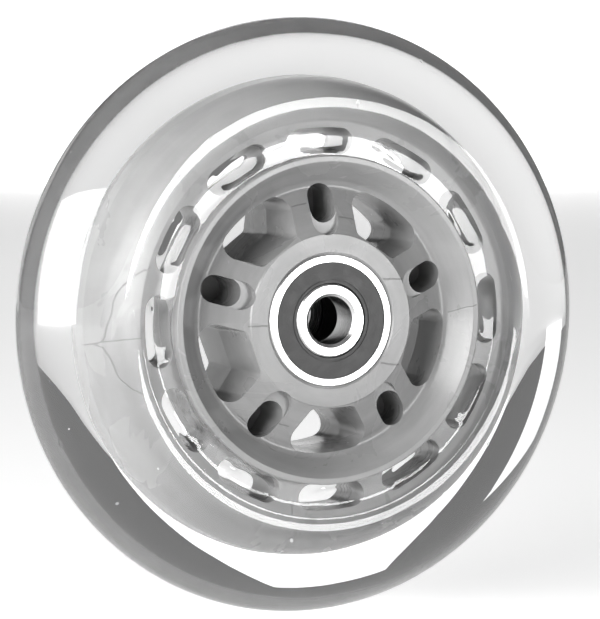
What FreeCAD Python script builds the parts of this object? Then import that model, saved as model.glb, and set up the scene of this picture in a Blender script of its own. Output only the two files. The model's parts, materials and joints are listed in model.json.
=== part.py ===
import FreeCAD, Part
import math
import os

import Sketcher

# A clear-tyred caster wheel: one moulded core, one cast tyre and two sealed ball bearings.
# Frame: origin at the wheel's centre, +Y along its spin axis, +Z up, front bearing on -Y.
# Every size is in millimetres and every angle in degrees.

SIZES = [
    # The tyre's outside, as a half section: a crown, a flank, a shoulder, a step and a floor.
    ("wheel_radius", 50.0, "spin axis to the top of the tread"),
    ("crown_round", 8.0, "radius of the tread's crown"),
    ("tyre_drop", 0.2, "hub's end face to the widest ring of the tyre"),
    ("shoulder_reach", 8.9, "barrel to the widest ring of the tyre"),
    ("step_reach", 5.8, "barrel to the top of the step that goes down to the floor"),
    ("step_drop", 0.3, "shoulder's fall from the widest ring to that step"),
    ("step_run", 1.0, "how far the step slopes inwards"),
    ("step_round", 0.25, "rounding of the step's two edges"),
    ("floor_cover", 1.6, "thickness of the clear floor over the anchor ring's face"),
    # The core's hub.
    ("land_half_width", 5.0, "half the land between the bearing seats"),
    ("land_step", 1.6, "height of the land above the seats"),
    ("seat_chamfer", 0.3, "lead-in at the mouth of a bearing seat"),
    ("hub_wall", 3.4, "bearing seat to the hub's outer edge"),
    ("hub_drop", 0.2, "how far the hub's edge falls below its face"),
    ("hub_round", 0.35, "rounding of the hub's edge"),
    # The spokes' faces fall outwards in a shallow cone to the bowl of the barrel.
    ("barrel_radius", 27.1, "outside of the barrel"),
    ("barrel_wall", 4.75, "thickness of the barrel at the bottom of its bowl"),
    ("bowl_half_width", 8.2, "half the wheel's thickness at the bottom of the bowl"),
    ("bowl_round", 1.4, "root rounding of the bowl"),
    ("lip_rise", 0.1, "barrel's lip above the hub's end face"),
    ("lip_wall", 1.0, "thickness of the barrel at its lip"),
    ("lip_round", 0.2, "rounding of the lip's edges"),
    # The anchor ring that the tyre is cast round.
    ("anchor_reach", 5.9, "barrel to the edge of the ring's flat faces"),
    ("anchor_half_width", 8.9, "half its width over those faces"),
    ("anchor_round", 1.0, "rounding of their edge"),
    ("rim_reach", 11.8, "barrel to the ring's rim"),
    ("rim_half_width", 1.2, "half the narrow flat on the rim"),
    ("rim_round", 9.0, "radius of the swelling sides between faces and rim"),
    ("lock_count", 12, "round-ended holes through the anchor ring"),
    ("lock_shelf", 0.25, "barrel surface to the near edge of a hole"),
    ("lock_wall", 1.0, "far edge of a hole to the edge of the flat face"),
    ("lock_angle", 14.0, "angle between the centres of a hole's round ends"),
    ("lock_turn", 6.0, "first hole's angle from the middle of a window"),
    # Windows between the spokes.
    ("spoke_count", 5, "spokes, windows and slots"),
    ("spoke_half_width", 5.45, "half a spoke's width at its face"),
    ("window_step", 0.1, "hub's edge to the flat inner wall of a window"),
    ("window_shelf", 0.05, "bowl's bottom to the round outer wall of a window"),
    ("window_corner", 2.5, "rounding of a window's outer corners"),
    ("window_inner_corner", 1.0, "rounding of its inner corners"),
    ("draft_step", 0.45, "how much smaller the window is at mid-plane"),
    ("draft_depth", 10.0, "distance over which it shrinks so much"),
    ("core_turn", 56.1, "angle of a window's middle from +X towards +Z"),
    # Slots moulded into the spokes' faces.
    ("slot_half_width", 2.3, "half the width of a slot"),
    ("slot_bite", 0.35, "how far a slot's inner tip cuts into the hub's face"),
    ("slot_run", 0.15, "how far its outer tip cuts into the bowl"),
    ("ledge_depth", 1.8, "hub's end face to the ledge in a slot"),
    ("ledge_length", 2.0, "length of the ledge along the slot"),
    ("slot_web_half", 1.0, "half the web left between opposite slots"),
    # The two 608 ball bearings.
    ("bore_radius", 4.0, "bearing bore"),
    ("ring_radius", 11.0, "outside of the outer ring"),
    ("bearing_width", 7.0, "width over the rings"),
    ("bore_chamfer", 0.5, "chamfer at the ends of the bore"),
    ("ring_chamfer", 0.3, "chamfer at the rims of both rings"),
    ("ball_radius", 1.9845, "5/32 inch ball"),
    ("ball_count", 7, "balls in a bearing"),
    ("ball_gap", 0.05, "running gap between a ball and its races"),
    ("shoulder_gap", 1.4, "pitch circle to the shoulders of both rings"),
    ("mouth_wall", 1.35, "thickness of the outer ring at its mouth"),
    ("seal_groove", 0.3, "depth of the groove that the seal snaps into"),
    ("seal_sink", 0.2, "face of a seal below the rings' faces"),
    ("seal_thick", 0.6, "thickness of a seal"),
    ("seal_lip_gap", 0.1, "seal lip to the inner ring"),
    ("seal_fit", 0.08, "seal face to the mouth of the outer ring"),
    ("seal_rim", 0.4, "thickness of the seal's rim in its groove"),
    ("lip_line_gap", 0.5, "inner ring to the round groove beside the seal's lip"),
    ("lip_line_width", 0.25, "width of that groove"),
    ("lip_line_depth", 0.15, "depth of that groove"),
    ("insert_thick", 0.25, "thickness of the steel insert"),
    ("insert_inner_gap", 0.9, "inner ring's shoulder to the insert"),
    ("insert_outer_gap", 0.1, "insert to the outer ring's shoulder"),
    ("cage_half_width", 0.75, "half the width of the cage ribbon"),
    ("cage_thick", 0.25, "thickness of the cage ribbon"),
    ("cage_gap", 0.06, "ball to the pocket of its cage"),
    ("rivet_radius", 0.25, "shank of a cage rivet"),
    ("rivet_head_radius", 0.5, "head of a cage rivet"),
    ("rivet_head_thick", 0.15, "thickness of that head"),
    ("front_ball_turn", 12.0, "angle of the front bearing's first ball"),
    ("rear_ball_turn", 31.0, "angle of the rear bearing's first ball"),
]

# Sizes that follow from the ones above, as sheet formulas.
DERIVED = [
    ("hub_half_width", "land_half_width + bearing_width", "hub's end face"),
    ("lip_half_width", "hub_half_width + lip_rise", "half the width over the lips"),
    ("bearing_centre", "land_half_width + bearing_width / 2", "bearing's middle"),
    ("hub_radius", "ring_radius + hub_wall", "hub's outer edge"),
    ("bowl_radius", "barrel_radius - barrel_wall", "bottom of the bowl"),
    ("anchor_radius", "barrel_radius + anchor_reach", "edge of the anchor ring's faces"),
    ("rim_radius", "barrel_radius + rim_reach", "outside of the anchor ring"),
    ("lock_inner", "barrel_radius + lock_shelf", "near edge of a hole"),
    ("lock_outer", "anchor_radius - lock_wall", "far edge of a hole"),
    ("lock_round", "(lock_outer - lock_inner) / 2", "radius of a hole's round ends"),
    ("lock_middle", "(lock_outer + lock_inner) / 2", "circle of the round ends' centres"),
    ("window_inner", "hub_radius + window_step", "flat inner wall of a window"),
    ("window_outer", "bowl_radius - window_shelf", "round outer wall of a window"),
    ("slot_inner", "hub_radius - slot_bite", "inner tip of a slot"),
    ("slot_outer", "bowl_radius + slot_run", "outer tip of a slot"),
    ("ledge_half_width", "hub_half_width - ledge_depth", "ledge above mid-plane"),
    ("tyre_half_width", "hub_half_width - tyre_drop", "half the tyre's width"),
    ("shoulder_radius", "barrel_radius + shoulder_reach", "widest ring of the tyre"),
    ("crown_centre", "wheel_radius - crown_round", "centre of the crown's arc"),
    ("crown_reach", "crown_centre - shoulder_radius", "shoulder to crown centre"),
    ("flank_round",
     "(crown_reach ^ 2 + tyre_half_width ^ 2 - crown_round ^ 2)"
     " / (2 * (tyre_half_width - crown_round))",
     "arc that touches the crown and the shoulder"),
    ("flank_share", "crown_round / (flank_round - crown_round)", "crown to flank"),
    ("flank_end_radius", "crown_centre + crown_reach * flank_share", "crown's end"),
    ("flank_end_height", "(flank_round - tyre_half_width) * flank_share",
     "crown's end from mid-plane"),
    ("step_radius", "barrel_radius + step_reach", "top of the step"),
    ("step_height", "tyre_half_width - step_drop", "top of the step from mid-plane"),
    ("shoulder_round",
     "((shoulder_reach - step_reach) ^ 2 + step_drop ^ 2) / (2 * step_drop)",
     "arc from the widest ring to the step"),
    ("floor_half_width", "anchor_half_width + floor_cover", "half the width over the floors"),
    ("lip_inner", "barrel_radius - lip_wall", "inner edge of the lip"),
    ("half_ring", "bearing_width / 2", "half a bearing's width"),
    ("pitch_radius", "(bore_radius + ring_radius) / 2", "circle of the balls' centres"),
    ("race_round", "ball_radius + ball_gap", "section radius of both races"),
    ("race_half", "sqrt(race_round ^ 2 - shoulder_gap ^ 2)", "half a race's width"),
    ("inner_land", "pitch_radius - shoulder_gap", "shoulder of the inner ring"),
    ("outer_land", "pitch_radius + shoulder_gap", "shoulder of the outer ring"),
    ("mouth_radius", "ring_radius - mouth_wall", "mouth of the outer ring"),
    ("groove_radius", "mouth_radius + seal_groove", "bottom of the seal's groove"),
    ("seal_face", "half_ring - seal_sink", "seal's outer face"),
    ("seal_back", "seal_face - seal_thick", "seal's inner face"),
    ("rim_top", "seal_back + seal_rim", "outer side of the seal's rim"),
    ("lip_radius", "inner_land + seal_lip_gap", "edge of the seal's lip"),
    ("lip_line", "inner_land + lip_line_gap", "groove beside the lip"),
    ("insert_inner", "inner_land + insert_inner_gap", "bore of the insert"),
    ("insert_outer", "outer_land - insert_outer_gap", "outside of the insert"),
    ("cage_inner", "pitch_radius - cage_half_width", "inner edge of the cage"),
    ("cage_outer", "pitch_radius + cage_half_width", "outer edge of the cage"),
    ("pocket_radius", "ball_radius + cage_gap", "inside of a cage pocket"),
]

ALIASES = {name for name, _, _ in SIZES + DERIVED}
SPIN_AXIS = FreeCAD.Vector(0, 1, 0)
ACROSS_AXIS = FreeCAD.Vector(0, 0, 1)
POLE_ON_SPIN_AXIS = FreeCAD.Rotation(FreeCAD.Vector(1, 0, 0), -90)

doc = FreeCAD.newDocument("caster_wheel")
sheet = doc.addObject("Spreadsheet::Sheet", "dims")
subparts = []


def fill_sheet():
    """Write every driving size and every derived one, each under its own alias."""
    rows = [(name, str(value), note) for name, value, note in SIZES]
    rows += [(name, "=" + formula, note) for name, formula, note in DERIVED]
    for row, (name, content, note) in enumerate(rows, start=1):
        sheet.set("A%d" % row, note)
        sheet.set("B%d" % row, content)
        sheet.setAlias("B%d" % row, name)
    doc.recompute()


def bound(formula):
    """A formula over the sheet's aliases, as other objects have to write it."""
    words = formula.replace("(", "( ").replace(")", " )").split()
    return " ".join("dims." + word if word in ALIASES else word for word in words)


def size(formula):
    """The present value of a formula over the sheet's aliases."""
    return float(sheet.evalExpression(bound(formula)))


def tie(obj, prop, formula):
    obj.setExpression(prop, bound(formula))


fill_sheet()


# Sketch helpers

def new_body(name):
    body = doc.addObject("PartDesign::Body", name)
    body.Label = name
    return body


def origin_feature(body, role):
    return next(item for item in body.Origin.OriginFeatures if item.Role == role)


def new_sketch(body, name, role, lift=None):
    sketch = body.newObject("Sketcher::SketchObject", name)
    sketch.AttachmentSupport = [(origin_feature(body, role), "")]
    sketch.MapMode = "FlatFace"
    if lift:
        tie(sketch, "AttachmentOffset.Base.z", lift)
    return sketch


def hold(sketch, kind, *args):
    """Add a driving constraint; the last argument is the formula that sets it."""
    *places, formula = args
    value = size(formula)
    if kind == "Angle":
        value = math.radians(value)
    index = sketch.addConstraint(Sketcher.Constraint(kind, *places, value))
    sketch.setExpression("Constraints[%d]" % index, bound(formula))


def arc_centre(start, end, radius, side):
    """Centre of the short arc of this radius; side +1 puts it left of start to end."""
    chord = end - start
    rise = math.sqrt(radius ** 2 - (chord.Length / 2) ** 2)
    normal = FreeCAD.Vector(-chord.y, chord.x, 0).normalize()
    return (start + end) * 0.5 + normal * (rise * side)


def arc_curve(start, end, radius, side):
    centre = arc_centre(start, end, radius, side)
    circle = Part.Circle(centre, FreeCAD.Vector(0, 0, 1), radius)
    first, last = (start, end) if side > 0 else (end, start)
    return Part.ArcOfCircle(circle, circle.parameter(first), circle.parameter(last))


def draw_outline(sketch, corners):
    """Draw a closed outline through corners of (x, y) or (x, y, radius, side).

    A corner with a radius is reached by an arc, the others by a straight line.
    """
    points = [FreeCAD.Vector(size(corner[0]), size(corner[1]), 0) for corner in corners]
    ends = []
    for index, corner in enumerate(corners):
        start, end = points[index - 1], points[index]
        if len(corner) == 2:
            geo = sketch.addGeometry(Part.LineSegment(start, end))
            ends.append((geo, 1, 2))
            continue
        radius, side = corner[2:]
        geo = sketch.addGeometry(arc_curve(start, end, size(radius), side))
        ends.append((geo, 1, 2) if side > 0 else (geo, 2, 1))
    for index, corner in enumerate(corners):
        geo, _, last = ends[index]
        after, first, _ = ends[(index + 1) % len(corners)]
        sketch.addConstraint(Sketcher.Constraint("Coincident", geo, last, after, first))
        hold(sketch, "DistanceX", -1, 1, geo, last, corner[0])
        hold(sketch, "DistanceY", -1, 1, geo, last, corner[1])
        if len(corner) > 2:
            hold(sketch, "Radius", geo, corner[2])


def both_sides(upper):
    """A half outline, from the outside in, followed by its mirror image below y = 0."""
    lower = []
    for index in reversed(range(len(upper))):
        x, y = upper[index][:2]
        came_by = upper[index + 1][2:] if index + 1 < len(upper) else ()
        lower.append((x, "0 - (%s)" % y) + tuple(came_by))
    return list(upper) + lower


def revolve(body, name, corners):
    """Turn an outline of (radius, height) corners round the body's Y axis."""
    sketch = new_sketch(body, name + "_sketch", "XY_Plane")
    draw_outline(sketch, corners)
    turned = body.newObject("PartDesign::Revolution", name)
    turned.Profile = sketch
    turned.ReferenceAxis = (sketch, ["V_Axis"])
    turned.Angle = 360
    return turned


def ring_edges(shape, radius, height):
    """Names of the circular edges at this radius and at this height on either side."""
    names = []
    for number, edge in enumerate(shape.Edges, start=1):
        curve = edge.Curve
        if not hasattr(curve, "Radius"):
            continue
        near_radius = abs(curve.Radius - size(radius)) < 0.001
        near_height = abs(abs(curve.Center.y) - size(height)) < 0.001
        if near_radius and near_height:
            names.append("Edge%d" % number)
    return names


def dress(body, kind, name, prop, value, places):
    """Fillet or chamfer the ring edges at each (radius, height) of places."""
    doc.recompute()
    base = body.Tip
    edges = [edge for place in places for edge in ring_edges(base.Shape, *place)]
    feature = body.newObject("PartDesign::" + kind, name)
    feature.Base = (base, edges)
    tie(feature, prop, value)
    return feature


def polar(body, name, originals, count):
    pattern = body.newObject("PartDesign::PolarPattern", name)
    pattern.Originals = originals
    pattern.Axis = (origin_feature(body, "Y_Axis"), [""])
    pattern.Angle = 360
    tie(pattern, "Occurrences", count)
    body.Tip = pattern
    return pattern


def place(obj, label, turn=0, height="0", flip=False):
    """Name a finished sub-part, then turn it round the axis and slide it along it."""
    obj.Label = label
    turned = FreeCAD.Rotation(SPIN_AXIS, -turn)
    if flip:
        turned = turned.multiply(FreeCAD.Rotation(ACROSS_AXIS, 180))
    obj.Placement = FreeCAD.Placement(FreeCAD.Vector(0, size(height), 0), turned)
    tie(obj, "Placement.Base.y", height)
    subparts.append(obj)


# The core and the tyre

def cut_both_ways(body, name, draw, lift=None, draft=None):
    """Cut the outline that draw makes out through both faces, from mid-plane or above."""
    cuts = []
    for side, reverse in (("front", True), ("rear", False)):
        offset = lift
        if lift and side == "rear":
            offset = "0 - " + lift
        sketch = new_sketch(body, "%s_%s_sketch" % (name, side), "XZ_Plane", offset)
        draw(sketch)
        pocket = body.newObject("PartDesign::Pocket", "%s_%s" % (name, side))
        pocket.Profile = sketch
        pocket.Reversed = reverse
        tie(pocket, "Length", "lip_half_width")
        if draft:
            tie(pocket, "TaperAngle", draft)
        cuts.append(pocket)
    return cuts


def draw_window(sketch):
    """A window at mid-plane: flat inner wall, sides along the spokes, round outer wall."""
    half_pitch = math.radians(180 / size("spoke_count"))
    side_gap = size("spoke_half_width + draft_step")
    inner = size("window_inner + draft_step")
    outer = size("window_outer - draft_step")
    corner = size("window_corner - draft_step")
    inner_corner = size("window_inner_corner - draft_step")
    along = FreeCAD.Vector(math.cos(half_pitch), math.sin(half_pitch), 0)
    inward = FreeCAD.Vector(math.sin(half_pitch), -math.cos(half_pitch), 0)

    reach = math.sqrt((outer - corner) ** 2 - (side_gap + corner) ** 2)
    outer_centre = inward * (side_gap + corner) + along * reach
    outer_start = outer_centre - inward * corner
    outer_end = outer_centre * (outer / outer_centre.Length)

    slide = (inner + inner_corner - inward.x * (side_gap + inner_corner)) / along.x
    inner_centre = inward * (side_gap + inner_corner) + along * slide
    inner_start = inner_centre - FreeCAD.Vector(inner_corner, 0, 0)
    inner_end = inner_centre - inward * inner_corner

    def below(point):
        return FreeCAD.Vector(point.x, -point.y, 0)

    def arc(centre, radius, first, last):
        circle = Part.Circle(centre, FreeCAD.Vector(0, 0, 1), radius)
        return Part.ArcOfCircle(circle, circle.parameter(first), circle.parameter(last))

    origin = FreeCAD.Vector(0, 0, 0)
    curves = [
        Part.LineSegment(below(inner_start), inner_start),
        arc(inner_centre, inner_corner, inner_end, inner_start),
        Part.LineSegment(inner_end, outer_start),
        arc(outer_centre, corner, outer_end, outer_start),
        arc(origin, outer, below(outer_end), outer_end),
        arc(below(outer_centre), corner, below(outer_start), below(outer_end)),
        Part.LineSegment(below(outer_start), below(inner_end)),
        arc(below(inner_centre), inner_corner, below(inner_start), below(inner_end)),
    ]
    flat, near_up, side_up, far_up, round_wall, far_low, side_low, near_low = [
        sketch.addGeometry(curve) for curve in curves
    ]
    joints = (
        (flat, 2, near_up, 2), (near_up, 1, side_up, 1), (side_up, 2, far_up, 2),
        (far_up, 1, round_wall, 2), (round_wall, 1, far_low, 2), (far_low, 1, side_low, 1),
        (side_low, 2, near_low, 2), (near_low, 1, flat, 1),
    )
    for joint in joints:
        sketch.addConstraint(Sketcher.Constraint("Tangent", *joint))
    sketch.addConstraint(Sketcher.Constraint("Coincident", round_wall, 3, -1, 1))
    sketch.addConstraint(Sketcher.Constraint("Vertical", flat))
    sketch.addConstraint(Sketcher.Constraint("Equal", far_up, far_low))
    sketch.addConstraint(Sketcher.Constraint("Equal", near_up, near_low))
    hold(sketch, "Radius", round_wall, "window_outer - draft_step")
    hold(sketch, "Radius", far_up, "window_corner - draft_step")
    hold(sketch, "Radius", near_up, "window_inner_corner - draft_step")
    hold(sketch, "DistanceX", -1, 1, flat, 1, "window_inner + draft_step")
    hold(sketch, "Distance", -1, 1, side_up, "spoke_half_width + draft_step")
    hold(sketch, "Angle", -1, 1, side_up, 1, "180 / spoke_count")
    sketch.addConstraint(Sketcher.Constraint("Symmetric", side_up, 1, side_low, 2, -1))


def slot_drawer(inner_tip):
    """A drawer for a round-ended slot along the spoke, from this tip outwards."""
    def draw(sketch):
        half = size("slot_half_width")
        turn = math.radians(180 / size("spoke_count"))
        along = FreeCAD.Vector(math.cos(turn), math.sin(turn), 0)
        across = FreeCAD.Vector(-along.y, along.x, 0)
        near = along * (size(inner_tip) + half)
        far = along * (size("slot_outer") - half)
        axis = FreeCAD.Vector(0, 0, 1)
        near_circle = Part.Circle(near, axis, half)
        far_circle = Part.Circle(far, axis, half)
        left = Part.LineSegment(near + across * half, far + across * half)
        right = Part.LineSegment(near - across * half, far - across * half)
        near_arc = Part.ArcOfCircle(
            near_circle,
            near_circle.parameter(near + across * half),
            near_circle.parameter(near - across * half),
        )
        far_arc = Part.ArcOfCircle(
            far_circle,
            far_circle.parameter(far - across * half),
            far_circle.parameter(far + across * half),
        )
        side, other, inner_end, outer_end = [
            sketch.addGeometry(curve) for curve in (left, right, near_arc, far_arc)
        ]
        middle = sketch.addGeometry(Part.LineSegment(FreeCAD.Vector(), far), True)
        joints = (
            (side, 1, inner_end, 1), (side, 2, outer_end, 2),
            (other, 1, inner_end, 2), (other, 2, outer_end, 1),
        )
        for joint in joints:
            sketch.addConstraint(Sketcher.Constraint("Tangent", *joint))
        sketch.addConstraint(Sketcher.Constraint("Coincident", middle, 1, -1, 1))
        sketch.addConstraint(Sketcher.Constraint("Coincident", middle, 2, outer_end, 3))
        sketch.addConstraint(Sketcher.Constraint("PointOnObject", inner_end, 3, middle))
        hold(sketch, "Angle", -1, 1, middle, 1, "180 / spoke_count")
        hold(sketch, "Radius", inner_end, "slot_half_width")
        hold(sketch, "Radius", outer_end, "slot_half_width")
        hold(sketch, "Distance", -1, 1, outer_end, 3, "slot_outer - slot_half_width")
        hold(sketch, "Distance", -1, 1, inner_end, 3, inner_tip + " + slot_half_width")
    return draw


def draw_lock_hole(sketch):
    """A hole of the anchor ring: two arcs about the spin axis and two round ends."""
    middle = math.radians(size("lock_turn"))
    half = math.radians(size("lock_angle") / 2)
    first, last = middle - half, middle + half
    axis = FreeCAD.Vector(0, 0, 1)

    def about_axis(radius):
        circle = Part.Circle(FreeCAD.Vector(), axis, radius)
        return Part.ArcOfCircle(circle, first, last)

    def round_end(angle, start):
        ray = FreeCAD.Vector(math.cos(angle), math.sin(angle), 0)
        circle = Part.Circle(ray * size("lock_middle"), axis, size("lock_round"))
        return Part.ArcOfCircle(circle, angle + start, angle + start + math.pi)

    near, far, low_end, high_end = [sketch.addGeometry(curve) for curve in (
        about_axis(size("lock_inner")), about_axis(size("lock_outer")),
        round_end(first, math.pi), round_end(last, 0),
    )]
    joints = ((near, 1, low_end, 1), (far, 1, low_end, 2),
              (far, 2, high_end, 1), (near, 2, high_end, 2))
    for joint in joints:
        sketch.addConstraint(Sketcher.Constraint("Tangent", *joint))
    sketch.addConstraint(Sketcher.Constraint("Coincident", near, 3, -1, 1))
    sketch.addConstraint(Sketcher.Constraint("Coincident", far, 3, -1, 1))
    hold(sketch, "Radius", near, "lock_inner")
    hold(sketch, "Radius", far, "lock_outer")
    for end, turn in ((low_end, "lock_turn - lock_angle / 2"),
                      (high_end, "lock_turn + lock_angle / 2")):
        ray = sketch.addGeometry(
            Part.LineSegment(FreeCAD.Vector(), sketch.Geometry[end].Center), True)
        sketch.addConstraint(Sketcher.Constraint("Coincident", ray, 1, -1, 1))
        sketch.addConstraint(Sketcher.Constraint("Coincident", ray, 2, end, 3))
        hold(sketch, "Angle", -1, 1, ray, 1, turn)


def make_core():
    body = new_body("core")
    revolve(body, "core_section", both_sides([
        ("rim_radius", "rim_half_width"),
        ("anchor_radius", "anchor_half_width", "rim_round", 1),
        ("barrel_radius", "anchor_half_width"),
        ("barrel_radius", "lip_half_width"),
        ("lip_inner", "lip_half_width"),
        ("bowl_radius", "bowl_half_width"),
        ("hub_radius", "hub_half_width - hub_drop"),
        ("hub_radius - hub_drop", "hub_half_width"),
        ("ring_radius + seat_chamfer", "hub_half_width"),
        ("ring_radius", "hub_half_width - seat_chamfer"),
        ("ring_radius", "land_half_width"),
        ("ring_radius - land_step", "land_half_width"),
    ]))
    dress(body, "Fillet", "bowl_fillet", "Radius", "bowl_round",
          [("bowl_radius", "bowl_half_width")])
    dress(body, "Fillet", "hub_fillet", "Radius", "hub_round",
          [("hub_radius", "hub_half_width - hub_drop")])
    dress(body, "Fillet", "anchor_fillet", "Radius", "anchor_round",
          [("anchor_radius", "anchor_half_width")])
    dress(body, "Fillet", "lip_fillet", "Radius", "lip_round",
          [("barrel_radius", "lip_half_width"), ("lip_inner", "lip_half_width")])
    doc.recompute()
    windows = cut_both_ways(body, "window", draw_window, draft="atan(draft_step / draft_depth)")
    ledges = cut_both_ways(body, "ledge", slot_drawer("slot_inner"), "ledge_half_width")
    slots = cut_both_ways(body, "slot", slot_drawer("slot_inner + ledge_length"),
                          "slot_web_half")
    polar(body, "spoke_pattern", windows + ledges + slots, "spoke_count")
    holes = cut_both_ways(body, "lock_hole", draw_lock_hole)
    polar(body, "lock_pattern", holes, "lock_count")
    place(body, "core", turn=size("core_turn"))
    return body


def make_tyre(core):
    """The tyre fills the core's anchor ring, so the core itself is cut out of it."""
    blank = new_body("tyre_blank")
    revolve(blank, "tyre_section", both_sides([
        ("flank_end_radius", "flank_end_height", "crown_round", 1),
        ("shoulder_radius", "tyre_half_width", "flank_round", 1),
        ("step_radius", "step_height", "shoulder_round", 1),
        ("step_radius - step_run", "floor_half_width"),
        ("barrel_radius", "floor_half_width"),
    ]))
    dress(blank, "Fillet", "step_fillet", "Radius", "step_round",
          [("step_radius", "step_height"), ("step_radius - step_run", "floor_half_width")])
    tyre = doc.addObject("Part::Cut", "tyre")
    tyre.Base = blank
    tyre.Tool = core
    tyre.Refine = True
    place(tyre, "tyre")


# The bearings

def turned_ring(name, corners):
    body = new_body(name)
    revolve(body, name + "_section", corners)
    return body


def outer_ring(name):
    return turned_ring(name, both_sides([
        ("outer_land", "race_half", "race_round", 1),
        ("outer_land", "seal_back"),
        ("groove_radius", "seal_back"),
        ("groove_radius", "rim_top"),
        ("mouth_radius", "rim_top"),
        ("mouth_radius", "half_ring"),
        ("ring_radius - ring_chamfer", "half_ring"),
        ("ring_radius", "half_ring - ring_chamfer"),
    ]))


def inner_ring(name):
    return turned_ring(name, both_sides([
        ("inner_land", "race_half", "race_round", -1),
        ("inner_land", "half_ring - ring_chamfer"),
        ("inner_land - ring_chamfer", "half_ring"),
        ("bore_radius + bore_chamfer", "half_ring"),
        ("bore_radius", "half_ring - bore_chamfer"),
    ]))


def seal(name):
    """A rubber disc: its rim snaps into the outer ring, its lip stays off the inner one."""
    return turned_ring(name, [
        ("lip_radius", "seal_back"),
        ("lip_radius", "seal_face"),
        ("lip_line", "seal_face"),
        ("lip_line", "seal_face - lip_line_depth"),
        ("lip_line + lip_line_width", "seal_face - lip_line_depth"),
        ("lip_line + lip_line_width", "seal_face"),
        ("mouth_radius - seal_fit", "seal_face"),
        ("mouth_radius - seal_fit", "rim_top"),
        ("groove_radius", "rim_top"),
        ("groove_radius", "seal_back"),
        ("insert_outer", "seal_back"),
        ("insert_outer", "seal_back + insert_thick"),
        ("insert_inner", "seal_back + insert_thick"),
        ("insert_inner", "seal_back"),
    ])


def seal_insert(name):
    return turned_ring(name, [
        ("insert_inner", "seal_back"),
        ("insert_inner", "seal_back + insert_thick"),
        ("insert_outer", "seal_back + insert_thick"),
        ("insert_outer", "seal_back"),
    ])


def on_pitch_circle(obj, turn):
    """Put an object on the pitch circle, at an angle formula from +X towards +Z."""
    tie(obj, "Placement.Base.x", "pitch_radius * cos( %s )" % turn)
    tie(obj, "Placement.Base.z", "pitch_radius * sin( %s )" % turn)


def ball_turn(first, index):
    return "%s + 360 / ball_count * %d" % (first, index)


def rivet_turn(first, index):
    return "%s + 360 / ball_count * ( %d + 0.5 )" % (first, index)


def cross_cylinder(name, radius, height, start="0"):
    """A cylinder along +Y from the height start."""
    cylinder = doc.addObject("Part::Cylinder", name)
    tie(cylinder, "Radius", radius)
    tie(cylinder, "Height", height)
    cylinder.Placement.Rotation = POLE_ON_SPIN_AXIS
    tie(cylinder, "Placement.Base.y", start)
    return cylinder


def pitch_spheres(name, radius, first):
    spheres = []
    for index in range(int(size("ball_count"))):
        sphere = doc.addObject("Part::Sphere", "%s_%d" % (name, index + 1))
        tie(sphere, "Radius", radius)
        sphere.Placement.Rotation = POLE_ON_SPIN_AXIS
        on_pitch_circle(sphere, ball_turn(first, index))
        spheres.append(sphere)
    return spheres


def joined(kind, name, shapes):
    whole = doc.addObject(kind, name)
    setattr(whole, "Links" if kind == "Part::Compound" else "Shapes", shapes)
    return whole


def boolean(kind, name, base, tool):
    result = doc.addObject(kind, name)
    result.Base = base
    result.Tool = tool
    return result


def cage_half(name, first):
    """Half a ribbon cage above y = 0: flats between the balls and a cup round each one."""
    blank = boolean(
        "Part::Cut", name + "_blank",
        cross_cylinder(name + "_rim", "cage_outer", "race_round + cage_thick * 2"),
        cross_cylinder(name + "_eye", "cage_inner", "race_round + cage_thick * 2"),
    )
    flat = cross_cylinder(name + "_flat", "pitch_radius + race_round", "cage_thick * 2",
                          "0 - cage_thick")
    cups = pitch_spheres(name + "_cup", "pocket_radius + cage_thick", first)
    ribbon = boolean("Part::Common", name + "_ribbon", blank,
                     joined("Part::MultiFuse", name + "_cups", [flat] + cups))
    holes = []
    for index in range(int(size("ball_count"))):
        hole = cross_cylinder("%s_hole_%d" % (name, index + 1), "rivet_radius",
                              "cage_thick * 4", "0 - cage_thick * 2")
        on_pitch_circle(hole, rivet_turn(first, index))
        holes.append(hole)
    pockets = pitch_spheres(name + "_pocket", "pocket_radius", first)
    return boolean("Part::Cut", name, ribbon,
                   joined("Part::MultiFuse", name + "_openings", pockets + holes))


def cage_rivets(name, first):
    """One rivet between each pair of balls, headed on both sides of the two ribbons."""
    rivets = []
    for index in range(int(size("ball_count"))):
        stem = "%s_%d" % (name, index + 1)
        pieces = [
            cross_cylinder(stem + "_shank", "rivet_radius", "cage_thick * 2", "0 - cage_thick"),
            cross_cylinder(stem + "_head", "rivet_head_radius", "rivet_head_thick",
                           "cage_thick"),
            cross_cylinder(stem + "_foot", "rivet_head_radius", "rivet_head_thick",
                           "0 - cage_thick - rivet_head_thick"),
        ]
        for piece in pieces:
            on_pitch_circle(piece, rivet_turn(first, index))
        rivets.append(joined("Part::MultiFuse", stem, pieces))
    return joined("Part::Compound", name, rivets)


def make_bearing(side, height, flip):
    """One sealed bearing; height is the formula of its middle, flip turns it to face -Y."""
    first = side + "_ball_turn"
    spot = {"height": height, "flip": flip}
    turned_over = {"height": height, "flip": not flip}
    place(outer_ring(side + "_outer_ring"), side + "_outer_ring", **spot)
    place(inner_ring(side + "_inner_ring"), side + "_inner_ring", **spot)
    place(seal(side + "_outer_seal"), side + "_outer_seal", **spot)
    place(seal(side + "_inner_seal"), side + "_inner_seal", **turned_over)
    place(seal_insert(side + "_outer_insert"), side + "_outer_seal_insert", **spot)
    place(seal_insert(side + "_inner_insert"), side + "_inner_seal_insert", **turned_over)
    for index, ball in enumerate(pitch_spheres(side + "_ball", "ball_radius", first)):
        place(ball, "%s_ball_%d" % (side, index + 1), height=height)
    place(cage_half(side + "_cage_rear", first), side + "_cage_rear_half", height=height)
    turned_half = cage_half(side + "_cage_front", "180 - " + first)
    place(turned_half, side + "_cage_front_half", height=height, flip=True)
    place(cage_rivets(side + "_cage_rivets", first), side + "_cage_rivets", height=height)


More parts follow.
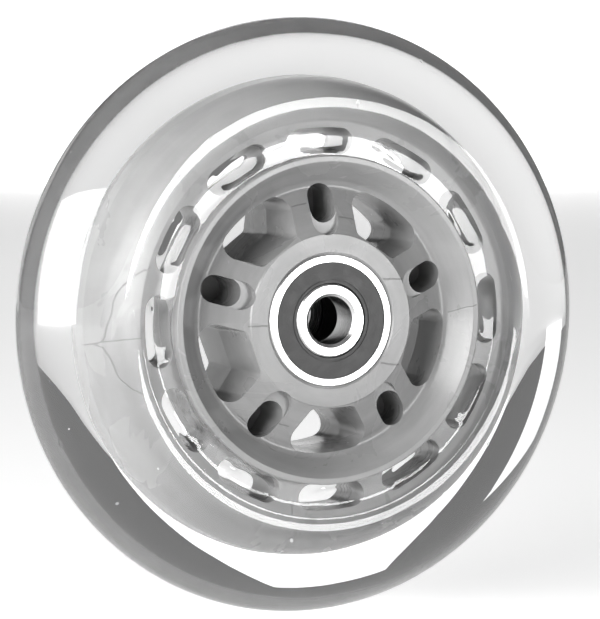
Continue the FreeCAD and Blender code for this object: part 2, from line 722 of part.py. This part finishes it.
def check_document():
    """Stop if any object failed or any sub-part is empty or broken."""
    for obj in doc.Objects:
        if "Invalid" in obj.State or "Error" in obj.State:
            raise RuntimeError("%s failed: %s" % (obj.Name, obj.State))
    for part in subparts:
        if part.Shape.isNull() or not part.Shape.isValid() or not part.Shape.Solids:
            raise RuntimeError("%s has no sound shape" % part.Label)


def main():
    core = make_core()
    make_tyre(core)
    make_bearing("front", "0 - bearing_centre", True)
    make_bearing("rear", "bearing_centre", False)
    doc.recompute()
    check_document()
    os.makedirs("parts", exist_ok=True)
    for part in subparts:
        part.Shape.exportStep("parts/%s.step" % part.Label)
        box = part.Shape.BoundBox
        print("%-26s %9.1f mm3  y %.2f to %.2f" % (
            part.Label, part.Shape.Volume, box.YMin, box.YMax))


main()
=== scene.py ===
import json
import math

import bmesh
import bpy
from mathutils import Matrix, Vector


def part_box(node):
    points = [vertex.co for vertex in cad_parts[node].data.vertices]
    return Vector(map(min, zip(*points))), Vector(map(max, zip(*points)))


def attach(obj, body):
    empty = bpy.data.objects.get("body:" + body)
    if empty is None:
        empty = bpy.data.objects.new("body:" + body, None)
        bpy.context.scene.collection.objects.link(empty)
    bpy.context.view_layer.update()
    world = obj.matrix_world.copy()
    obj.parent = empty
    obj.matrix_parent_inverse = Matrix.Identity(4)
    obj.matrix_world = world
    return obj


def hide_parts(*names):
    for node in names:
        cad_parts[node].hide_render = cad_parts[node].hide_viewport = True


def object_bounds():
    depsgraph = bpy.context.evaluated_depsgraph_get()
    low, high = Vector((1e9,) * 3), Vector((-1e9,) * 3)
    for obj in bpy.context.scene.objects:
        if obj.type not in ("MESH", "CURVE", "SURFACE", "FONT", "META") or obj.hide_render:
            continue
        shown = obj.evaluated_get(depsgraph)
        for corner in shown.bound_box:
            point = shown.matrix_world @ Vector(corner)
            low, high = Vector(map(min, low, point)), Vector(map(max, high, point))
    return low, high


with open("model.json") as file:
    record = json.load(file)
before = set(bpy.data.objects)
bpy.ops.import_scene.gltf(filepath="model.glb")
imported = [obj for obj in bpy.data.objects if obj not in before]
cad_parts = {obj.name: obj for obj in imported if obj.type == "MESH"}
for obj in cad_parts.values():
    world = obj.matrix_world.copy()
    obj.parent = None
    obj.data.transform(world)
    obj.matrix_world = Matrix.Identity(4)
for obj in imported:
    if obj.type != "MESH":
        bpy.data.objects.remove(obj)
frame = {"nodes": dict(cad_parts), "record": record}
cad_low, cad_high = [list(corner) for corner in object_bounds()]

MM = 0.001

# The wheel's spin axis is Y and its front bearing faces -Y.
WHEEL_RADIUS = (cad_high[2] - cad_low[2]) / 2
LIP_HALF_WIDTH = (cad_high[1] - cad_low[1]) / 2
TYRE_HALF_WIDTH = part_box("tyre")[1][1]
FLOOR_HEIGHT = cad_low[2]
BARREL_RADIUS = 27.1 * MM
HOLE_COUNT = 12
HOLE_MIDDLE = 29.675 * MM
HOLE_TURN = math.radians(56.1 + 6.0)


# Node helpers

def new_material(name):
    material = bpy.data.materials.new(name)
    material.use_nodes = True
    tree = material.node_tree
    tree.nodes.clear()
    return material, tree


def add(tree, kind, inputs=None, **settings):
    """Add a node, set its properties, then set or link its inputs."""
    node = tree.nodes.new(kind)
    for key, value in settings.items():
        setattr(node, key, value)
    for key, value in (inputs or {}).items():
        socket = node.inputs[key]
        if isinstance(value, bpy.types.NodeSocket):
            tree.links.new(value, socket)
        else:
            socket.default_value = value
    return node


def calc(tree, operation, *values):
    return add(tree, "ShaderNodeMath", dict(enumerate(values)), operation=operation).outputs[0]


def vector_calc(tree, operation, *values, out=0):
    node = add(tree, "ShaderNodeVectorMath", dict(enumerate(values)), operation=operation)
    return node.outputs[out]


def object_point(tree):
    return add(tree, "ShaderNodeTexCoord").outputs["Object"]


def combined(tree, x, y, z):
    return add(tree, "ShaderNodeCombineXYZ", {"X": x, "Y": y, "Z": z}).outputs[0]


def polar_point(tree, point):
    """Radius from the spin axis, angle from +X towards +Z, and height along the axis."""
    split = add(tree, "ShaderNodeSeparateXYZ", {"Vector": point})
    x, y, z = split.outputs
    square = calc(tree, "ADD", calc(tree, "MULTIPLY", x, x), calc(tree, "MULTIPLY", z, z))
    return calc(tree, "SQRT", square), calc(tree, "ARCTAN2", z, x), y


def noise(tree, vector, scale, detail=3.0, rough=0.5, distortion=0.0):
    node = add(tree, "ShaderNodeTexNoise", {
        "Vector": vector, "Scale": scale, "Detail": detail,
        "Roughness": rough, "Distortion": distortion,
    })
    return node.outputs["Fac"]


def ramp(tree, value, start, end, low=0.0, high=1.0):
    """Map start..end onto low..high, smoothly and within limits."""
    node = add(tree, "ShaderNodeMapRange", {
        "Value": value, "From Min": start, "From Max": end, "To Min": low, "To Max": high,
    }, interpolation_type="SMOOTHSTEP")
    return node.outputs["Result"]


def grey(value):
    return (value, value, value, 1.0)


def mix_grey(tree, factor, low, high):
    node = add(tree, "ShaderNodeMix", data_type="RGBA")
    for socket, value in ((node.inputs[0], factor), (node.inputs[6], low), (node.inputs[7], high)):
        if isinstance(value, bpy.types.NodeSocket):
            tree.links.new(value, socket)
        else:
            socket.default_value = value
    return node.outputs[2]


def bump(tree, height, strength, distance, under=None):
    inputs = {"Strength": strength, "Distance": distance, "Height": height}
    if under:
        inputs["Normal"] = under
    return add(tree, "ShaderNodeBump", inputs).outputs[0]


def finish_material(tree, shader, volume=None):
    output = add(tree, "ShaderNodeOutputMaterial", {"Surface": shader})
    if volume:
        tree.links.new(volume, output.inputs["Volume"])


def stroke_mask(tree, point, first, last, width):
    """One on a thin stroke between two (x, z) places in millimetres, nought elsewhere."""
    start = Vector((first[0], 0, first[1])) * MM
    along = Vector((last[0] - first[0], 0, last[1] - first[1])) * MM
    away = vector_calc(tree, "SUBTRACT", point, start[:])
    share = calc(tree, "DIVIDE", vector_calc(tree, "DOT_PRODUCT", away, along[:], out=1),
                 along.length_squared)
    share = add(tree, "ShaderNodeClamp", {"Value": share}).outputs[0]
    near = add(tree, "ShaderNodeVectorMath", {0: along[:], "Scale": share}, operation="SCALE")
    gap = vector_calc(tree, "LENGTH", vector_calc(tree, "SUBTRACT", away, near.outputs[0]), out=1)
    return ramp(tree, gap, width * MM, width * MM * 0.25)


def polyline_mask(tree, point, places, width):
    mask = None
    for first, last in zip(places, places[1:]):
        stroke = stroke_mask(tree, point, first, last, width)
        mask = stroke if mask is None else calc(tree, "MAXIMUM", mask, stroke)
    return mask


# Materials

def clear_polyurethane():
    """Water-clear cast polyurethane: light bends in it, and lamps reach what it covers."""
    material, tree = new_material("clear_polyurethane")
    point = object_point(tree)
    radius, angle, height = polar_point(tree, point)
    sweep = combined(tree, calc(tree, "MULTIPLY", radius, 900.0),
                     calc(tree, "MULTIPLY", angle, 5.0),
                     calc(tree, "MULTIPLY", height, 900.0))
    swirl = noise(tree, point, 34.0, detail=1.5, distortion=0.6)
    scratch = noise(tree, sweep, 1.6, detail=2.0, rough=0.6)
    scratches = ramp(tree, scratch, 0.70, 0.76)
    dust = add(tree, "ShaderNodeTexVoronoi", {"Vector": point, "Scale": 260.0})
    speck_size = ramp(tree, noise(tree, point, 180.0), 0.56, 0.75, 0.0, 0.13)
    specks = calc(tree, "LESS_THAN", dust.outputs["Distance"], speck_size)
    wavy = bump(tree, swirl, 0.15, 0.0012)
    scuffed = bump(tree, scratches, 0.12, 0.00004, wavy)
    glass = add(tree, "ShaderNodeBsdfPrincipled", {
        "Base Color": grey(0.985),
        "Roughness": calc(tree, "ADD", 0.015, calc(tree, "MULTIPLY", scratches, 0.12)),
        "IOR": 1.5,
        "Transmission Weight": 1.0,
        "Normal": scuffed,
    })
    flecks = add(tree, "ShaderNodeBsdfDiffuse", {"Color": grey(0.75)})
    worn = add(tree, "ShaderNodeMixShader", {
        "Fac": calc(tree, "MULTIPLY", specks, 0.5), 1: glass.outputs[0], 2: flecks.outputs[0],
    })
    lamp_path = add(tree, "ShaderNodeLightPath").outputs["Is Shadow Ray"]
    passing = add(tree, "ShaderNodeBsdfTransparent", {"Color": grey(0.95)})
    mixed = add(tree, "ShaderNodeMixShader", {
        "Fac": lamp_path, 1: worn.outputs[0], 2: passing.outputs[0],
    })
    absorb = add(tree, "ShaderNodeVolumeAbsorption", {"Color": grey(0.55), "Density": 3.0})
    finish_material(tree, mixed.outputs[0], absorb.outputs[0])
    return material


# Knit lines where the plastic met in the mould, as (x, z) places on the front face.
KNIT_LINES = (
    ((-38.8, -3.2), (-37.6, -2.6), (-35.0, -2.2), (-32.7, -2.0)),
    ((-38.2, -3.1), (-37.5, -2.4), (-36.9, 1.2), (-36.4, 4.0), (-35.3, 6.2), (-33.7, 8.0),
     (-31.1, 9.5)),
    ((-38.2, -3.1), (-37.4, -3.6), (-36.3, -6.3), (-35.2, -8.8), (-33.8, -10.2),
     (-31.3, -11.7)),
    ((-9.8, 27.8), (-7.0, 28.8)),
    ((-6.1, -30.1), (-6.1, -32.4)),
    ((-8.3, -16.9), (-6.8, -17.4)),
    ((-15.3, -15.3), (-14.0, -16.5)),
    ((-5.9, 18.7), (-3.5, 19.3)),
    ((2.1, 17.0), (4.4, 16.5)),
    ((-11.5, -0.4), (-14.6, -0.5)),
    ((9.4, 6.7), (12.9, 6.5)),
    ((9.1, -7.4), (12.4, -7.7)),
    ((23.0, 0.5), (26.6, 1.8)),
)
KNIT_WIDTH = 0.16


def moulded_core():
    """Grey moulded plastic: cloudy flow marks, knit lines, a satin grain and handling marks."""
    material, tree = new_material("moulded_core")
    point = object_point(tree)
    radius, angle, height = polar_point(tree, point)
    wander = add(tree, "ShaderNodeTexNoise", {"Vector": point, "Scale": 300.0, "Detail": 2.0})
    drift = vector_calc(tree, "SUBTRACT", wander.outputs["Color"], (0.5, 0.5, 0.5))
    drift = vector_calc(tree, "MULTIPLY", drift, (0.0006, 0.0, 0.0006))
    flat = vector_calc(tree, "MULTIPLY", vector_calc(tree, "ADD", point, drift), (1, 0, 1))
    lines = None
    for places in KNIT_LINES:
        mask = polyline_mask(tree, flat, places, KNIT_WIDTH)
        lines = mask if lines is None else calc(tree, "MAXIMUM", lines, mask)
    front = calc(tree, "LESS_THAN", height, -0.5 * MM)
    lines = calc(tree, "MULTIPLY", lines, front)
    cloud = noise(tree, point, 55.0, detail=5.0, rough=0.55, distortion=0.8)
    flow = noise(tree, combined(tree, calc(tree, "MULTIPLY", radius, 420.0), angle,
                                calc(tree, "MULTIPLY", height, 200.0)), 1.3, detail=3.0)
    grain = noise(tree, point, 2600.0, detail=2.0)
    tint = calc(tree, "ADD", calc(tree, "MULTIPLY", cloud, 0.55),
                calc(tree, "MULTIPLY", flow, 0.45))
    plain = mix_grey(tree, ramp(tree, tint, 0.3, 0.7), grey(0.19), grey(0.26))
    dark_lines = mix_grey(tree, calc(tree, "MULTIPLY", lines, 0.62), plain, grey(0.08))
    specks = add(tree, "ShaderNodeTexVoronoi", {"Vector": point, "Scale": 420.0})
    dirt = calc(tree, "LESS_THAN", specks.outputs["Distance"],
                ramp(tree, noise(tree, point, 140.0), 0.6, 0.8, 0.0, 0.16))
    colour = mix_grey(tree, calc(tree, "MULTIPLY", dirt, 0.45), dark_lines, grey(0.14))
    satin = bump(tree, grain, 0.10, 0.00012)
    marked = bump(tree, calc(tree, "MULTIPLY", lines, -1.0), 0.5, 0.00006, satin)
    plastic = add(tree, "ShaderNodeBsdfPrincipled", {
        "Base Color": colour,
        "Roughness": ramp(tree, cloud, 0.3, 0.7, 0.24, 0.34),
        "Normal": marked,
        "Coat Weight": 0.12,
        "Coat Roughness": 0.25,
    })
    finish_material(tree, plastic.outputs[0])
    return material


def turned_steel(name, base, rough, ring_depth):
    """Steel with fine rings about the spin axis from grinding, and faint handling marks."""
    material, tree = new_material(name)
    point = object_point(tree)
    radius, _, height = polar_point(tree, point)
    lines = noise(tree, combined(tree, radius, height, 0.0), 9000.0, detail=3.0)
    patch = noise(tree, point, 250.0, detail=4.0)
    steel = add(tree, "ShaderNodeBsdfPrincipled", {
        "Base Color": mix_grey(tree, patch, grey(base * 0.88), grey(base)),
        "Metallic": 1.0,
        "Roughness": ramp(tree, lines, 0.2, 0.8, rough * 0.75, rough * 1.3),
        "Normal": bump(tree, lines, ring_depth, 0.0001),
    })
    finish_material(tree, steel.outputs[0])
    return material


def seal_rubber():
    """Black nitrile rubber: dull, with moulding rings and a bloom that greys it unevenly."""
    material, tree = new_material("seal_rubber")
    point = object_point(tree)
    radius, _, height = polar_point(tree, point)
    cloud = noise(tree, point, 420.0, detail=4.0)
    rings = noise(tree, combined(tree, radius, height, 0.0), 2600.0, detail=2.0)
    grain = noise(tree, point, 6000.0, detail=2.0)
    rubber = add(tree, "ShaderNodeBsdfPrincipled", {
        "Base Color": mix_grey(tree, ramp(tree, cloud, 0.3, 0.7), grey(0.020), grey(0.045)),
        "Roughness": ramp(tree, cloud, 0.3, 0.7, 0.36, 0.52),
        "Normal": bump(tree, grain, 0.2, 0.00008, bump(tree, rings, 0.12, 0.0001)),
    })
    finish_material(tree, rubber.outputs[0])
    return material


# Geometry Nodes: helpers, then one tree for the tyre and one for the flash on the lips

def node_tree(name, inputs):
    """A Geometry Nodes tree with named inputs: (name, socket kind, value)."""
    tree = bpy.data.node_groups.new(name, "GeometryNodeTree")
    tree.interface.new_socket("Geometry", in_out="INPUT", socket_type="NodeSocketGeometry")
    for label, kind, value in inputs:
        socket = tree.interface.new_socket(label, in_out="INPUT", socket_type=kind)
        if value is not None:
            socket.default_value = value
    tree.interface.new_socket("Geometry", in_out="OUTPUT", socket_type="NodeSocketGeometry")
    return tree, add(tree, "NodeGroupInput").outputs


def close_tree(tree, geometry, material):
    whole = add(tree, "GeometryNodeRealizeInstances", {"Geometry": geometry}).outputs[0]
    dressed = add(tree, "GeometryNodeSetMaterial", {"Geometry": whole, "Material": material})
    add(tree, "NodeGroupOutput", {"Geometry": dressed.outputs[0]})


def socket_identifiers(tree):
    return {item.name: item.identifier for item in tree.interface.items_tree
            if item.in_out == "INPUT"}


def grown_piece(name, base_mesh, tree, values):
    """Run a tree on a mesh and keep the result as a plain, outward-facing mesh."""
    source = bpy.data.objects.new(name + "_source", base_mesh)
    bpy.context.scene.collection.objects.link(source)
    modifier = source.modifiers.new(tree.name, "NODES")
    modifier.node_group = tree
    identifiers = socket_identifiers(tree)
    for label, value in values.items():
        modifier[identifiers[label]] = value
    graph = bpy.context.evaluated_depsgraph_get()
    mesh = bpy.data.meshes.new_from_object(source.evaluated_get(graph), depsgraph=graph)
    source.modifiers.remove(modifier)
    bpy.data.objects.remove(source)
    mesh.name = name
    shape = bmesh.new()
    shape.from_mesh(mesh)
    bmesh.ops.remove_doubles(shape, verts=shape.verts, dist=0.002 * MM)
    bmesh.ops.recalc_face_normals(shape, faces=shape.faces)
    shape.to_mesh(mesh)
    shape.free()
    mesh.shade_smooth()
    piece = bpy.data.objects.new(name, mesh)
    bpy.context.scene.collection.objects.link(piece)
    return piece


def chain_mesh(name, points):
    """A closed chain of (radius, height) points as loose vertices in the XY plane."""
    mesh = bpy.data.meshes.new(name)
    mesh.from_pydata([(radius, height, 0) for radius, height in points], [], [])
    return mesh


def arc(centre, radius, first, last, count):
    """Points of an arc in the (radius, height) plane, angles in radians."""
    step = (last - first) / (count - 1)
    return [(centre[0] + radius * math.cos(first + step * index),
             centre[1] + radius * math.sin(first + step * index)) for index in range(count)]


def tyre_profile():
    """The tyre's section: crown, flank, shoulder, step and floor, on both sides."""
    crown_round = 8.0 * MM
    shoulder_radius = BARREL_RADIUS + 8.9 * MM
    step_radius = BARREL_RADIUS + 5.8 * MM
    step_drop = 0.3 * MM
    step_run = 2.2 * MM
    floor_drop = 0.9 * MM
    hidden_radius = BARREL_RADIUS - 0.5 * MM
    half_width = TYRE_HALF_WIDTH
    crown_centre = WHEEL_RADIUS - crown_round
    reach = crown_centre - shoulder_radius
    spread = reach ** 2 + half_width ** 2 - crown_round ** 2
    flank_round = spread / (2 * (half_width - crown_round))
    flank_centre = (shoulder_radius, half_width - flank_round)
    crown_end = math.atan2(-flank_centre[1], reach)
    fall = shoulder_radius - step_radius
    shoulder_round = (fall ** 2 + step_drop ** 2) / (2 * step_drop)
    shoulder_centre = (shoulder_radius, half_width - shoulder_round)
    step_angle = math.pi / 2 + math.asin(fall / shoulder_round)
    floor_height = half_width - floor_drop
    half = arc((crown_centre, 0), crown_round, 0, crown_end, 18)
    half += arc(flank_centre, flank_round, crown_end, math.pi / 2, 34)[1:]
    half += arc(shoulder_centre, shoulder_round, math.pi / 2, step_angle, 8)[1:-1]
    half += rounded_step((step_radius, half_width - step_drop),
                         (step_radius - step_run, floor_height))
    floor_steps = 18
    floor_run = step_radius - step_run * 1.35 - BARREL_RADIUS
    for index in range(floor_steps):
        half.append((BARREL_RADIUS + floor_run * (1 - (index + 1) / floor_steps), floor_height))
    half.append((hidden_radius, floor_height))
    mirror = [(radius, -height) for radius, height in reversed(half[1:])]
    return half + mirror


def rounded_step(top, foot):
    """The step from top to foot as an S of two small rounds."""
    points = []
    count = 9
    for index in range(count):
        share = index / (count - 1)
        ease = share * share * (3 - 2 * share)
        points.append((top[0] + (foot[0] - top[0]) * (share * 1.35 - 0.175),
                       top[1] + (foot[1] - top[1]) * ease))
    return points


def lathe_tree(material, count):
    """Turn a chain of points about Y, and sink the cast surface a little over each hole."""
    tree, given = node_tree("cast_tyre_lathe", (
        ("Turns", "NodeSocketInt", 480),
        ("Hole Count", "NodeSocketInt", HOLE_COUNT),
        ("Hole Turn", "NodeSocketFloat", HOLE_TURN),
        ("Hole Middle", "NodeSocketFloat", HOLE_MIDDLE),
        ("Hole Half Length", "NodeSocketFloat", 4.6 * MM),
        ("Hole Half Height", "NodeSocketFloat", 2.1 * MM),
        ("Sink Depth", "NodeSocketFloat", 0.16 * MM),
        ("Swell", "NodeSocketFloat", 0.05 * MM),
    ))
    grid = add(tree, "GeometryNodeMeshGrid", {
        "Size X": 1.0, "Size Y": 1.0,
        "Vertices X": calc(tree, "ADD", given["Turns"], 1.0), "Vertices Y": count + 1,
    }).outputs["Mesh"]
    place = add(tree, "GeometryNodeInputPosition").outputs[0]
    across, along, _ = add(tree, "ShaderNodeSeparateXYZ", {"Vector": place}).outputs
    step = calc(tree, "ROUND", calc(tree, "MULTIPLY", calc(tree, "ADD", along, 0.5), float(count)))
    step = calc(tree, "MODULO", step, float(count))
    sample = add(tree, "GeometryNodeSampleIndex", {"Geometry": given["Geometry"]},
                 data_type="FLOAT_VECTOR", domain="POINT")
    tree.links.new(place, sample.inputs["Value"])
    tree.links.new(step, sample.inputs["Index"])
    radius, height, _ = add(tree, "ShaderNodeSeparateXYZ", {"Vector": sample.outputs[0]}).outputs
    angle = calc(tree, "MULTIPLY", across, 2 * math.pi)

    pitch = calc(tree, "DIVIDE", 2 * math.pi, given["Hole Count"])
    from_hole = calc(tree, "SUBTRACT", angle, given["Hole Turn"])
    from_hole = calc(tree, "ADD", calc(tree, "DIVIDE", from_hole, pitch), 60.5)
    from_hole = calc(tree, "SUBTRACT", calc(tree, "FRACT", from_hole), 0.5)
    from_hole = calc(tree, "MULTIPLY", from_hole, pitch)
    along_hole = calc(tree, "DIVIDE", calc(tree, "MULTIPLY", from_hole, given["Hole Middle"]),
                      given["Hole Half Length"])
    up_hole = calc(tree, "DIVIDE", calc(tree, "SUBTRACT", radius, given["Hole Middle"]),
                   given["Hole Half Height"])
    spread = calc(tree, "ADD", calc(tree, "POWER", calc(tree, "ABSOLUTE", along_hole), 3.0),
                  calc(tree, "POWER", calc(tree, "ABSOLUTE", up_hole), 3.0))
    dish = add(tree, "ShaderNodeMapRange", {
        "Value": spread, "From Min": 1.25, "From Max": 0.0, "To Min": 0.0,
        "To Max": given["Sink Depth"],
    }, interpolation_type="SMOOTHSTEP").outputs["Result"]
    sunk = calc(tree, "MULTIPLY", dish, calc(tree, "SIGN", height))

    lobes = add(tree, "ShaderNodeTexNoise", {
        "Vector": combined(tree, calc(tree, "COSINE", angle), calc(tree, "SINE", angle),
                           calc(tree, "MULTIPLY", height, 60.0)),
        "Scale": 2.2, "Detail": 1.0,
    }).outputs["Fac"]
    inward = calc(tree, "MULTIPLY", lobes, given["Swell"])
    outside = calc(tree, "GREATER_THAN", radius, 33.0 * MM)
    radius = calc(tree, "SUBTRACT", radius, calc(tree, "MULTIPLY", inward, outside))

    turned = combined(tree, calc(tree, "MULTIPLY", radius, calc(tree, "COSINE", angle)),
                      calc(tree, "SUBTRACT", height, sunk),
                      calc(tree, "MULTIPLY", radius, calc(tree, "SINE", angle)))
    lathed = add(tree, "GeometryNodeSetPosition", {"Geometry": grid, "Position": turned})
    closed = add(tree, "GeometryNodeMergeByDistance", {
        "Geometry": lathed.outputs[0], "Distance": 0.002 * MM,
    })
    close_tree(tree, closed.outputs[0], material)
    return tree


def make_tyre(material):
    profile = tyre_profile()
    tree = lathe_tree(material, len(profile))
    tyre = grown_piece("clear_tyre", chain_mesh("tyre_section", profile), tree, {"Turns": 480})
    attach(tyre, "wheel")
    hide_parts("tyre")


def flash_tree(material):
    """A thin ragged bead of flash round the outer edge of each lip."""
    tree, given = node_tree("lip_flash_bead", (
        ("Ring Radius", "NodeSocketFloat", BARREL_RADIUS),
        ("Ring Height", "NodeSocketFloat", LIP_HALF_WIDTH - 0.2 * MM),
        ("Bead", "NodeSocketFloat", 0.13 * MM),
        ("Points", "NodeSocketInt", 900),
        ("Seed", "NodeSocketFloat", 7.0),
    ))
    beads = []
    for side in (-1, 1):
        circle = add(tree, "GeometryNodeCurvePrimitiveCircle", {
            "Resolution": given["Points"], "Radius": given["Ring Radius"],
        }).outputs["Curve"]
        upright = add(tree, "GeometryNodeTransform", {
            "Geometry": circle, "Rotation": (math.pi / 2, 0, 0),
        }).outputs[0]
        place = add(tree, "GeometryNodeInputPosition").outputs[0]
        ragged = add(tree, "ShaderNodeTexNoise", {
            "Vector": place, "W": calc(tree, "ADD", given["Seed"], float(side)),
            "Scale": 1400.0, "Detail": 3.0,
        }, noise_dimensions="4D").outputs["Fac"]
        patchy = add(tree, "ShaderNodeTexNoise", {
            "Vector": place, "W": calc(tree, "ADD", given["Seed"], float(side)),
            "Scale": 160.0, "Detail": 1.0,
        }, noise_dimensions="4D").outputs["Fac"]
        thick = calc(tree, "MULTIPLY", ramp(tree, patchy, 0.38, 0.62, 0.25, 1.0),
                     ramp(tree, ragged, 0.25, 0.75, 0.35, 1.0))
        lifted = combined(tree, 0.0, calc(tree, "MULTIPLY", given["Ring Height"], float(side)), 0.0)
        moved = add(tree, "GeometryNodeSetPosition", {"Geometry": upright, "Offset": lifted})
        thinned = add(tree, "GeometryNodeSetCurveRadius", {
            "Curve": moved.outputs[0], "Radius": thick,
        })
        section = add(tree, "GeometryNodeCurvePrimitiveCircle", {
            "Resolution": 6, "Radius": given["Bead"],
        }).outputs["Curve"]
        bead = add(tree, "GeometryNodeCurveToMesh", {
            "Curve": thinned.outputs[0], "Profile Curve": section,
        })
        if "Scale" in bead.inputs:
            tree.links.new(thick, bead.inputs["Scale"])
        beads.append(bead.outputs[0])
    both = add(tree, "GeometryNodeJoinGeometry")
    for bead in beads:
        tree.links.new(bead, both.inputs[0])
    close_tree(tree, both.outputs[0], material)
    return tree


def make_lip_flash(material):
    seed_mesh = bpy.data.meshes.new("lip_flash_seed")
    bead = grown_piece("lip_flash", seed_mesh, flash_tree(material), {"Points": 900})
    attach(bead, "wheel")


def dress_cad_nodes(core_look):
    looks = {
        "core_plastic": core_look,
        "ring_steel": turned_steel("ground_steel", 0.62, 0.26, 0.16),
        "seal_rubber": seal_rubber(),
        "pressed_steel": turned_steel("pressed_steel", 0.6, 0.35, 0.12),
        "rivet_steel": turned_steel("rivet_steel", 0.66, 0.3, 0.1),
        "ball_steel": turned_steel("ball_steel", 0.85, 0.06, 0.0),
    }
    for entry in frame["record"]["subparts"]:
        if entry["node"] == "tyre":
            continue
        node = frame["nodes"][entry["node"]]
        for slot in node.material_slots:
            slot.material = looks[entry["material_slot"]]


# Camera, lights, floor and backdrop

CAMERA_TURN = math.radians(-23.6)
CAMERA_RISE = math.radians(4.3)
CAMERA_DISTANCE = 0.4864
LENS = 168.5
SENSOR = 36.0
AIM_RIGHT = -0.35 * MM
AIM_UP = 1.0 * MM
FLOOR_RADIUS = 6.0
BACKDROP_AWAY = 2.2
BACKDROP_WIDTH = 0.72
BACKDROP_TALL = 1.2
FLOOR_GLOW = 0.5
BACKDROP_GLOW = 0.9
WORLD_GLOW = 0.14
REAR_LIGHT_AWAY = 0.95
REAR_LIGHT_ASIDE = 0.72


def camera_axes():
    rise, turn = CAMERA_RISE, CAMERA_TURN
    level = math.cos(rise)
    back = Vector((math.sin(turn) * level, -math.cos(turn) * level, math.sin(rise)))
    right = Vector((math.cos(turn), math.sin(turn), 0))
    return right, back.cross(right), back


def make_camera():
    right, up, back = camera_axes()
    data = bpy.data.cameras.new("camera")
    data.lens = LENS
    data.sensor_width = SENSOR
    data.sensor_fit = "AUTO"
    camera = bpy.data.objects.new("camera", data)
    spot = back * CAMERA_DISTANCE + right * AIM_RIGHT + up * AIM_UP
    turn = Matrix((right, up, back)).transposed().to_4x4()
    camera.matrix_world = Matrix.Translation(spot) @ turn
    bpy.context.scene.collection.objects.link(camera)
    bpy.context.scene.camera = camera


def area_light(name, place, size, power):
    """A soft box at a place, facing the wheel's centre and unseen by the camera itself."""
    data = bpy.data.lights.new(name, "AREA")
    data.shape = "RECTANGLE"
    data.size, data.size_y = size
    data.energy = power
    light = bpy.data.objects.new(name, data)
    light.location = place
    light.rotation_euler = (-Vector(place)).to_track_quat("-Z", "Y").to_euler()
    light.visible_camera = False
    bpy.context.scene.collection.objects.link(light)


def make_light():
    area_light("key_softbox", Vector((-0.66, -0.24, 0.08)), (0.7, 0.7), 15.0)
    area_light("face_softbox", Vector((0.33, -0.70, -0.04)), (0.26, 0.26), 3.0)
    area_light("top_softbox", Vector((0.0, -0.25, 0.75)), (0.5, 0.5), 0.15)
    right, _, back = camera_axes()
    level = Vector((back.x, back.y, 0)).normalized()
    left_behind = -level * REAR_LIGHT_AWAY - right * REAR_LIGHT_ASIDE
    area_light("rear_left_softbox", left_behind, (0.5, 0.9), 1.5)
    world = bpy.data.worlds.new("studio")
    world.use_nodes = True
    background = world.node_tree.nodes["Background"]
    background.inputs["Color"].default_value = grey(1.0)
    background.inputs["Strength"].default_value = WORLD_GLOW
    bpy.context.scene.world = world
    bpy.context.scene.view_settings.view_transform = "Standard"


def plain_paper(name, glow):
    """Pale studio paper, lit through evenly: it is the same all over."""
    material, tree = new_material(name)
    paper = noise(tree, object_point(tree), 40.0)
    surface = add(tree, "ShaderNodeBsdfPrincipled", {
        "Base Color": mix_grey(tree, paper, grey(0.84), grey(0.87)),
        "Roughness": 0.9,
        "Emission Color": grey(1.0),
        "Emission Strength": glow,
    })
    finish_material(tree, surface.outputs[0])
    return material


def make_floor():
    mesh = bpy.data.meshes.new("floor")
    shape = bmesh.new()
    bmesh.ops.create_circle(shape, cap_ends=True, segments=128, radius=FLOOR_RADIUS)
    bmesh.ops.translate(shape, verts=shape.verts, vec=(0, 0, FLOOR_HEIGHT))
    shape.to_mesh(mesh)
    shape.free()
    floor = bpy.data.objects.new("floor", mesh)
    bpy.context.scene.collection.objects.link(floor)
    mesh.materials.append(plain_paper("floor_paper", FLOOR_GLOW))


def make_backdrop():
    """An upright sheet of plain paper far behind the wheel."""
    right, _, back = camera_axes()
    level = Vector((back.x, back.y, 0)).normalized()
    foot = level * -BACKDROP_AWAY + Vector((0, 0, FLOOR_HEIGHT))
    side = right * (BACKDROP_WIDTH / 2)
    tall = Vector((0, 0, BACKDROP_TALL))
    mesh = bpy.data.meshes.new("backdrop")
    corners = (foot - side, foot + side, foot + side + tall, foot - side + tall)
    mesh.from_pydata([corner[:] for corner in corners], [], [(0, 1, 2, 3)])
    backdrop = bpy.data.objects.new("backdrop", mesh)
    bpy.context.scene.collection.objects.link(backdrop)
    mesh.materials.append(plain_paper("backdrop_paper", BACKDROP_GLOW))


make_camera()
make_floor()
make_backdrop()
make_light()
core_look = moulded_core()
make_tyre(clear_polyurethane())
make_lip_flash(core_look)
dress_cad_nodes(core_look)
